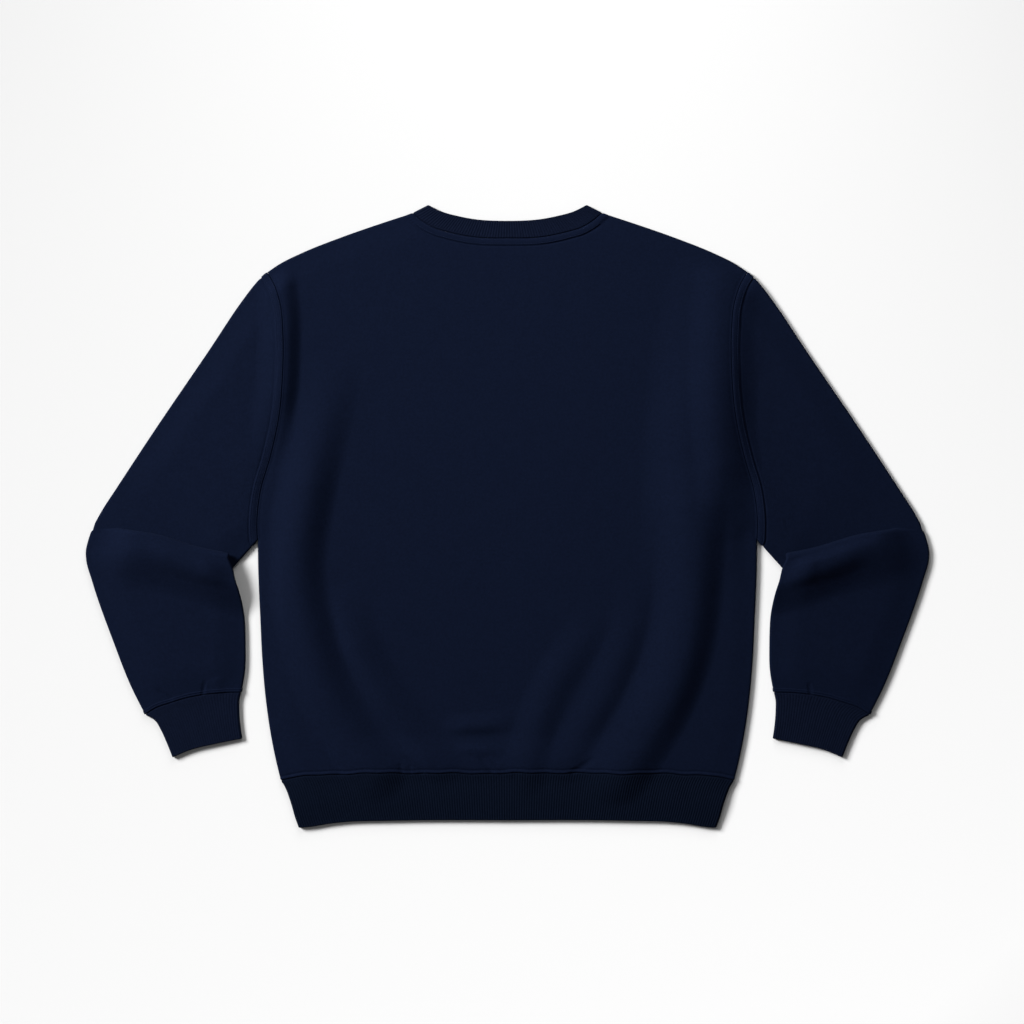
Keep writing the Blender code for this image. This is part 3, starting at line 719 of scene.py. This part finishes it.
def tube(name, rings, sizes, relief, wall, stride, material):
    """A tube of cloth from its rings. relief is a function of its points."""
    points, outward = (np.array([r[k] for r in rings]) for k in (0, 1))
    height = relief(points)
    picks = (strided(len(points), stride[0]), ring_picks(sizes, stride[1]))
    piece = cloth_piece(name, points, outward, height, wall, picks, True, material)
    return piece, points + outward * height[..., None], outward


def row_distances(points):
    """How far each point lies from its tube's first and last row, along the cloth."""
    place = surface_places(points)[..., 1]
    return place, place[-1] - place


def rib_tube(name, rings, sizes, material, grow_over, share=1, sewn=0):
    """A tube of rib knit. Its ribs grow from its sewn row, 0 or -1, to its folded one."""

    def relief(points):
        seam, edge = row_distances(points)[:: 1 if sewn == 0 else -1]
        raised = ribs(points.shape[1]) * share * ease(seam / grow_over)
        return raised - rounded(seam, SEAM_ROUND) - rounded(edge, EDGE_ROUND)

    return tube(name, rings, sizes, relief, RIB_WALL, RIB_STRIDE, material)


def lift_of_body(share, plan, way):
    """The lift of a ring that is sewn to the body, on top and underneath."""
    return body_lift(plan) if way == 1 else under_lift(plan)


def lift_of_collar(share, plan, way):
    return body_lift(plan) if way == 1 else 0 * share


def hem_band(material):
    """The ribbed waistband, from the hem seam down to its folded edge."""
    seam, edge, side = hem_seam_line(), mirrored(curve(HEM_EDGE)), curve(HEM_SIDE)
    count = rib_columns(length_of(seam))
    sizes = (RIB_TURNS, count, count)
    height = length_of(side)
    t = np.linspace(0, 1, HEM_SAMPLES)
    rings = []
    for share in finer_ends(height, *HEM_STEPS) / height:
        line = mixed(seam, edge, share, HEM_SAMPLES)
        off = along(side, share * height) * (-1, 1) - line[0]
        line[:, 0] += off[0] * (1 - 2 * t)
        line[:, 1] += off[1] * np.abs(1 - 2 * t) ** HEM_BEND
        aside = -GAP / 2 if share == 0 else 0
        rings.append(ring((line, line), sizes, lift_of_body, aside=aside))
    return rib_tube("hem_band", rings, sizes, material, RIBS_GROW_OVER)


def collar(material):
    """The ribbed neckband: its back half lies on top, its front half underneath."""
    back = [mirrored(curve(line)) for line in (BACK_NECK_EDGE, BACK_NECK_SEAM)]
    front = [mirrored(curve(line)) for line in (FRONT_NECK_EDGE, FRONT_NECK_SEAM)]
    over, under = (rib_columns(length_of(mixed(*pair, COLLAR_RIBS_AT))) for pair in (back, front))
    sizes = (RIB_TURNS, over, under)
    rings = []
    for share in finer_ends(COLLAR_HEIGHT, *COLLAR_STEPS) / COLLAR_HEIGHT:
        lines = [
            pair[1] if share == 1 else mixed(*pair, share, NECK_SAMPLES) for pair in (back, front)
        ]
        aside = GAP / 2 if share == 1 else 0
        rings.append(ring(lines, sizes, lift_of_collar, aside=aside))
    return rib_tube("collar", rings, sizes, material, COLLAR_RIBS_GROW_OVER, sewn=-1)


def tuck_turn(share):
    """How far the elbow's tuck turns back at this share of the sleeve's width."""
    return np.pi * ease(share / TUCK_OPENS_BY)


def tuck_length(share):
    """How far the tuck reaches back under the forearm."""
    opened = ease((share - TUCK_LENGTHENS_FROM) / TUCK_LENGTHENS_OVER)
    return TUCK_SHORTEST + (TUCK_DEPTH - TUCK_SHORTEST) * opened


def tuck_rise(share):
    """How much higher the tuck carries the forearm than the upper sleeve."""
    turn = tuck_turn(share)
    return 2 * TUCK_RADIUS * (1 - np.cos(turn)) + tuck_length(share) * np.sin(turn)


def tuck_section(fold, turned_by):
    """A section through the tuck: fold 0 is the hidden fold underneath and fold 1 the crease on
    top, and turned_by is the share of its turn."""
    crest = TUCK_RADIUS + HALF

    def make(line, distances, aside=0.0):
        share = np.clip(distances / length_of(line), 0, 1)
        turn = tuck_turn(share)
        heading = turn * turned_by
        if fold == 1:
            forward = crest - TUCK_RADIUS * np.sin(heading)
            height = HALF + tuck_rise(share) - TUCK_RADIUS * (1 - np.cos(heading))
        else:
            start = crest - 2 * TUCK_RADIUS * np.sin(turn) - tuck_length(share) * np.cos(turn)
            forward = start + TUCK_RADIUS * np.sin(heading)
            height = HALF + TUCK_RADIUS * (1 - np.cos(heading))
        plan = along(line, distances) + forward[:, None] * TUCK_DIRECTION
        up = np.column_stack([-np.sin(heading)[:, None] * TUCK_DIRECTION, np.cos(heading)])
        return np.column_stack([plan, height]), up

    return make


def on_side(rings, side):
    """Rings made for the +X side, mirrored to the -X side where side is -1."""
    return [(points * (side, 1, 1), outward * (side, 1, 1)) for points, outward in rings]


def lift_of_sleeve(side, line, air, folds=FOLDS, own=1, under=1):
    """The lift of a sleeve's or cuff's ring: its air and folds on top, and a share of the folds
    underneath. own is how far it has come away from the lift of the body."""
    width = length_of(line)

    def lift(share, plan, way):
        here = plan * (side, 1)
        high = crown(share, width)
        if way == -1:
            return fold_height(here, UNDER_FOLDS) * high * under
        return (1 - own) * body_lift(here) + own * (air + fold_height(here, folds)) * high

    return lift


def sleeve_patch(first, last, outer, inner, up):
    """A plan line for each of these shares of the way from one seam or crease to the next."""
    t = np.linspace(0, 1, SAMPLES)
    start, end = along(first, t * length_of(first)), along(last, t * length_of(last))
    left, right = along(outer, up * length_of(outer)), along(inner, up * length_of(inner))
    return grid_on(start, end, left, right, t, up)


def upper_rings(side, sizes, armhole, under):
    """The rings of a sleeve from its armhole to the hidden fold at the elbow."""
    shares = graded(*UPPER_STEPS) / UPPER_STEPS[-1][0]
    lines = sleeve_patch(armhole, under, curve(SLEEVE_OUTER), curve(SLEEVE_INNER), shares)
    rings = []
    for line, t in zip(lines[:-1], shares):
        own = ease(t / BODY_LIFT_FADES)
        air = SLEEVE_LIFT * ease((1 - t) / SLEEVE_LIFT_FADES)
        lift = lift_of_sleeve(side, line, air, own=own, under=own)
        rings.append(ring((line, line), sizes, lift, aside=GAP / 2 if t == 0 else 0))
    return rings


def no_lift(share, plan, way):
    return 0 * share


def tuck_rings(sizes, crease):
    """The rings of the tuck: round its hidden fold, and back round the crease on top."""
    turns = np.linspace(0, 1, TUCK_TURNS)
    rings = []
    for fold, order in ((0, turns), (1, turns[::-1])):
        for turned_by in order:
            make = tuck_section(fold, turned_by)
            rings.append(ring((crease, crease), sizes, no_lift, make=make))
    return rings


def forearm_rings(side, sizes, over, cuff_seam):
    """The rings of a sleeve from the crease at the elbow to the cuff seam."""
    shares = graded(*FOREARM_STEPS) / FOREARM_STEPS[-1][0]
    lines = sleeve_patch(over, cuff_seam, curve(FOREARM_OUTER), curve(FOREARM_INNER), shares)
    inner_length = length_of(curve(FOREARM_INNER))
    rings = []
    for line, t in zip(lines[1:], shares[1:]):

        def settled(line, distances, aside=0.0):
            points, up = lying_flat(line, distances, aside)
            share = np.clip(distances / length_of(line), 0, 1)
            clear = tuck_length(share) + TUCK_RADIUS + HALF
            settling = ease((t * inner_length - clear) / TUCK_SETTLES_OVER)
            points[:, 2] += tuck_rise(share) * (1 - settling)
            return points, up

        left = ease((FOREARM_LIFT_ENDS - t) / FOREARM_LIFT_FADES)
        air = FOREARM_LIFT * ease(t / FOREARM_LIFT_GROWS) * left
        rings.append(ring((line, line), sizes, lift_of_sleeve(side, line, air), make=settled))
    return rings


def sleeve(name, side, material):
    """One sleeve: from the armhole to the elbow, back under itself there, and on to the cuff."""
    sizes = (TURNS, SLEEVE_OVER, SLEEVE_UNDER)
    armhole, crease, cuff_seam = curve(ARMHOLE)[::-1], curve(CREASE), curve(CUFF_SEAM)
    fine = np.linspace(0, length_of(crease), SAMPLES)
    under, over = (tuck_section(fold, 0)(crease, fine)[0][:, :2] for fold in (0, 1))
    rings = upper_rings(side, sizes, armhole, under)
    rings += tuck_rings(sizes, crease)
    rings += forearm_rings(side, sizes, over, cuff_seam)

    def relief(points):
        armhole = grid_distance(points, both_sides(ARMHOLE))
        height = band(armhole, ARMHOLE_BAND) + needle_lines(armhole)
        return height - rounded(armhole, SEAM_ROUND) + cuff_bead(row_distances(points)[1])

    return tube(name, on_side(rings, side), sizes, relief, WALL, SLEEVE_STRIDE, material)


def cuff_bead(distance):
    """The end of a sleeve at its cuff: two fine raised lines with a groove between."""
    raised = CUFF_BEAD_HEIGHT * ease((CUFF_BEAD_LAST - distance) / CUFF_BEAD_SOFT)
    return raised + groove(distance, CUFF_GROOVE) - rounded(distance, SEAM_ROUND)


def cuff(name, side, material):
    """A ribbed cuff, from the sleeve's end to its folded edge."""
    outer, inner = curve(CUFF_OUTER), curve(CUFF_INNER)
    height = length_of(outer)
    shares = finer_ends(height, *CUFF_STEPS) / height
    lines = sleeve_patch(curve(CUFF_SEAM), curve(CUFF_EDGE), outer, inner, shares)
    count = rib_columns(length_of(lines[len(lines) // 3]))
    sizes = (RIB_TURNS, count, count)
    rings = []
    for line, t in zip(lines, shares):
        settled = ease(t / CUFF_LIFT_FADES)
        air = (1 - settled) * CUFF_LIFT_AT_SEAM + settled * CUFF_LIFT_AT_EDGE
        lift = lift_of_sleeve(side, line, air, folds=(), under=1 - t)
        rings.append(ring((line, line), sizes, lift, aside=GAP / 4 if t == 0 else 0))
    rings = on_side(rings, side)
    return rib_tube(name, rings, sizes, material, RIBS_GROW_OVER, CUFF_RIB_SHARE)


# Stitches.


def contour(points, outward, distance, level):
    """Where each column of a grid first reaches this distance from its first row: a line of
    points, and the direction out of the cloth along it."""
    columns = np.arange(points.shape[1])
    row = np.clip((distance >= level).argmax(axis=0), 1, len(points) - 1)
    before, after = distance[row - 1, columns], distance[row, columns]
    t = np.clip((level - before) / np.maximum(after - before, 1e-9), 0, 1)[:, None]
    line = (1 - t) * points[row - 1, columns] + t * points[row, columns]
    return line, outward[row, columns]


def needle_rows(skin, outward, lines):
    """Where the two needles run beside these seam lines, on a grid whose first row is sewn."""
    distance = grid_distance(skin, lines)
    return [contour(skin, outward, distance, needle) for needle in NEEDLES]


def armhole_rows(skin, outward):
    """The needles' rows on a sleeve."""
    return needle_rows(skin[:STITCHED_ROWS], outward[:STITCHED_ROWS], both_sides(ARMHOLE))


def neck_rows(skin, outward, seam):
    """The needles' rows on a panel's neck, which is the middle of its last row."""
    middle = np.abs(skin[-1, :, 0]) < NECK_STITCHED_TO
    skin, outward = (grid[::-1][:STITCHED_ROWS, middle] for grid in (skin, outward))
    return needle_rows(skin, outward, [mirrored(curve(seam))])


def stitch_row(line, outward):
    """Stitches along a line on the cloth: for each, a spindle's points and faces."""
    run = np.concatenate([[0], np.cumsum(steps_of(line))])
    count = max(1, int(run[-1] / STITCH_PITCH))
    start = np.arange(count) * run[-1] / count
    ends = [start + share * STITCH_SHARE * run[-1] / count for share in (0, 0.5, 1)]
    first, middle, last = (along(line, place) for place in ends)
    up = np.stack([np.interp(ends[1], run, outward[:, k]) for k in range(3)], axis=-1)
    up /= np.linalg.norm(up, axis=1, keepdims=True)
    way = last - first
    way /= np.maximum(np.linalg.norm(way, axis=1, keepdims=True), 1e-9)
    aside = np.cross(up, way) * STITCH_WIDTH / 2
    top, bottom = middle + up * STITCH_HEIGHT, middle - up * STITCH_HEIGHT / 2
    points = np.stack([first, top, middle + aside, bottom, middle - aside, last], axis=1)
    faces = [(0, 1, 2), (0, 2, 3), (0, 3, 4), (0, 4, 1), (5, 2, 1), (5, 3, 2), (5, 4, 3), (5, 1, 4)]
    return points, np.array(faces)


def stitches(name, rows, material):
    """One mesh of stitches along these lines."""
    points, faces, count = [], [], 0
    for line, outward in rows:
        spindles, pattern = stitch_row(line, outward)
        starts = count + len(spindles[0]) * np.arange(len(spindles))
        points.append(spindles.reshape(-1, 3))
        faces.append((starts[:, None, None] + pattern).reshape(-1, 3))
        count += len(points[-1])
    mesh = mesh_of(name, pressed(np.vstack(points)), np.vstack(faces).tolist(), material)
    mesh.shade_smooth()
    return linked(name, mesh)


# Materials.


def shader_of(name, colour, roughness, sheen):
    """A material with little gloss, and its shader."""
    material = bpy.data.materials.new(name)
    material.use_nodes = True
    shader = material.node_tree.nodes["Principled BSDF"]
    looks = {"Base Color": colour + (1,), "Roughness": roughness, "Sheen Weight": sheen, **MATTE}
    for key, value in looks.items():
        shader.inputs[key].default_value = value
    return material, shader


class Graph:
    """A short way to add and join a material's nodes."""

    def __init__(self, material):
        self.tree = material.node_tree

    def node(self, kind, **settings):
        made = self.tree.nodes.new("ShaderNode" + kind)
        for key, value in settings.items():
            setattr(made, key, value)
        return made

    def join(self, source, target):
        self.tree.links.new(source, target)

    def math(self, operation, *values):
        """A Math node over sockets and numbers, as its output socket."""
        made = self.node("Math", operation=operation)
        for socket, value in zip(made.inputs, values):
            if isinstance(value, (int, float)):
                socket.default_value = value
            else:
                self.join(value, socket)
        return made.outputs[0]

    def noise(self, scale, detail=2.0):
        """Noise over the object, scale to the metre."""
        place = self.node("TexCoord").outputs["Object"]
        made = self.node("TexNoise")
        made.inputs["Scale"].default_value = scale
        made.inputs["Detail"].default_value = detail
        self.join(place, made.inputs["Vector"])
        return made.outputs["Fac"]

    def bump(self, height, sizes, shader):
        """Bump from a height socket, on the shader's normal."""
        made = self.node("Bump")
        made.inputs["Strength"].default_value, made.inputs["Distance"].default_value = sizes
        self.join(height, made.inputs["Height"])
        self.join(made.outputs["Normal"], shader.inputs["Normal"])


def knit_height(graph, wale, course):
    """The V-shaped stitches of jersey, a wale across the cloth and a course along it."""
    cloth = graph.node("Attribute", attribute_name="cloth").outputs["Vector"]
    split = graph.node("SeparateXYZ")
    graph.join(cloth, split.inputs[0])
    across = graph.math("MULTIPLY", split.outputs["X"], 2 * np.pi / wale)
    column = graph.math("ABSOLUTE", graph.math("SINE", graph.math("MULTIPLY", across, 0.5)))
    slant = graph.math("MULTIPLY", column, LOOP_SLANT)
    up = graph.math("MULTIPLY", split.outputs["Y"], 2 * np.pi / course)
    loops = graph.math("SINE", graph.math("ADD", up, slant))
    return graph.math("ADD", column, graph.math("MULTIPLY", loops, LOOP_HEIGHT))


def knit_material(name, colour, wale, course):
    """Matte navy knit: fine stitches and fuzz in its bump, and a little mottling in its colour."""
    material, shader = shader_of(name, colour, *KNIT_LOOK)
    graph = Graph(material)
    ramp = graph.node("ValToRGB")
    low, high = ramp.color_ramp.elements
    low.position, high.position = MOTTLE_ENDS
    low.color = tuple(c * (1 - MOTTLE) for c in colour) + (1,)
    high.color = tuple(c * (1 + MOTTLE) for c in colour) + (1,)
    broad = graph.math("MULTIPLY", graph.noise(BROAD_SCALE), BROAD_SHARE)
    mottle = graph.math("ADD", graph.noise(MOTTLE_SCALE), broad)
    graph.join(graph.math("SUBTRACT", mottle, BROAD_SHARE / 2), ramp.inputs["Fac"])
    graph.join(ramp.outputs["Color"], shader.inputs["Base Color"])
    fuzz = graph.noise(FUZZ_SCALE, 4)
    rough = graph.math("ADD", graph.math("MULTIPLY", fuzz, FUZZ_ROUGHENS), LEAST_ROUGH)
    graph.join(rough, shader.inputs["Roughness"])
    fuzz_height = graph.math("MULTIPLY", fuzz, FUZZ_HEIGHT)
    height = graph.math("ADD", knit_height(graph, wale, course), fuzz_height)
    graph.bump(height, KNIT_BUMP, shader)
    return material


def thread_material():
    """Sewing thread, a shade lighter than the cloth, with its twist in the bump."""
    material, shader = shader_of("thread", THREAD_NAVY, *THREAD_LOOK)
    graph = Graph(material)
    graph.bump(graph.noise(THREAD_SCALE), THREAD_BUMP, shader)
    return material


def floor_material():
    """Pale matte paper, paler away from the key light so that it looks evenly lit."""
    material, shader = shader_of("paper", (PAPER, PAPER, PAPER), *PAPER_LOOK)
    graph = Graph(material)
    place = graph.node("NewGeometry")
    reach = graph.node("VectorMath", operation="DOT_PRODUCT")
    graph.join(place.outputs["Position"], reach.inputs[0])
    reach.inputs[1].default_value = (*PAPER_RISE, 0)
    growth = graph.math("EXPONENT", reach.outputs["Value"])
    paleness = graph.math("MULTIPLY", growth, PAPER)
    graph.join(graph.math("MINIMUM", paleness, PALEST), shader.inputs["Base Color"])
    graph.bump(graph.noise(PAPER_SCALE), PAPER_BUMP, shader)
    return material


# The stage.


def floor():
    plan = ((-1, -1), (1, -1), (1, 1), (-1, 1))
    corners = np.array([(x * FLOOR_HALF, y * FLOOR_HALF, FLOOR_LOW) for x, y in plan])
    linked("floor", mesh_of("floor", corners, [(0, 1, 2, 3)], floor_material()))


def area_light(name, azimuth, elevation, distance, size, power):
    """A square soft light that faces the object. Azimuth turns from -X towards +Y, in degrees."""
    light = bpy.data.lights.new(name, "AREA")
    light.size = size
    light.energy = power
    lamp = linked(name, light)
    turn, rise = np.radians(azimuth), np.radians(elevation)
    way = np.array([-np.cos(rise) * np.cos(turn), np.cos(rise) * np.sin(turn), np.sin(rise)])
    lamp.location = way * distance
    lamp.rotation_euler = lamp.location.to_track_quat("Z", "Y").to_euler()


def lights():
    for lamp in LIGHTS:
        area_light(*lamp)
    world = bpy.data.worlds.new("studio")
    world.use_nodes = True
    world.node_tree.nodes["Background"].inputs["Color"].default_value = WORLD
    bpy.context.scene.world = world


def camera():
    data = bpy.data.cameras.new("camera")
    data.sensor_width = SENSOR
    data.lens = SENSOR * VIEW_HEIGHT / VIEW_WIDTH
    shot = linked("camera", data)
    shot.location = (*VIEW_MIDDLE, VIEW_HEIGHT)
    bpy.context.scene.camera = shot
    bpy.context.scene.view_settings.view_transform = "Standard"


def declare(piece, node):
    """Attaches a piece of cloth to the body it rides on, and hides the frame's part that it stands
    for.
    """
    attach(piece, BODY)
    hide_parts(node)


def sew(name, rows, material):
    """One piece of stitches, in the seams of the pieces that it holds together."""
    sewn = stitches(name, rows, material)
    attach(sewn, BODY)


def main():
    # The hem band gets the darker copy of the rib, whose colour holds painted shade.
    fleece, rib, shaded_hem_rib = (knit_material(*kind) for kind in (FLEECE, RIB, SHADED_HEM_RIB))
    thread = thread_material()

    back, *back_faces = body_panel("back_panel", BACK_NECK_SEAM, GAP / 2, BACK_STEPS, True, fleece)
    front, *front_faces = body_panel(
        "front_panel", FRONT_NECK_SEAM, FRONT_NECK_GAP, FRONT_STEPS, False, fleece
    )
    declare(front, "front_panel")
    declare(back, "back_panel")
    declare(hem_band(shaded_hem_rib)[0], "hem_band")
    declare(collar(rib)[0], "collar")

    rows = []
    for word, side in (("left", -1), ("right", 1)):
        piece, *faces = sleeve("sleeve_" + word, side, fleece)
        declare(piece, "sleeve_" + word)
        declare(cuff("cuff_" + word, side, rib)[0], "cuff_" + word)
        rows += armhole_rows(*faces)
    sew("stitches_armholes", rows, thread)
    rows = neck_rows(*back_faces, BACK_NECK_SEAM) + neck_rows(*front_faces, FRONT_NECK_SEAM)
    sew("stitches_neck", rows, thread)

    floor()
    lights()
    camera()


main()
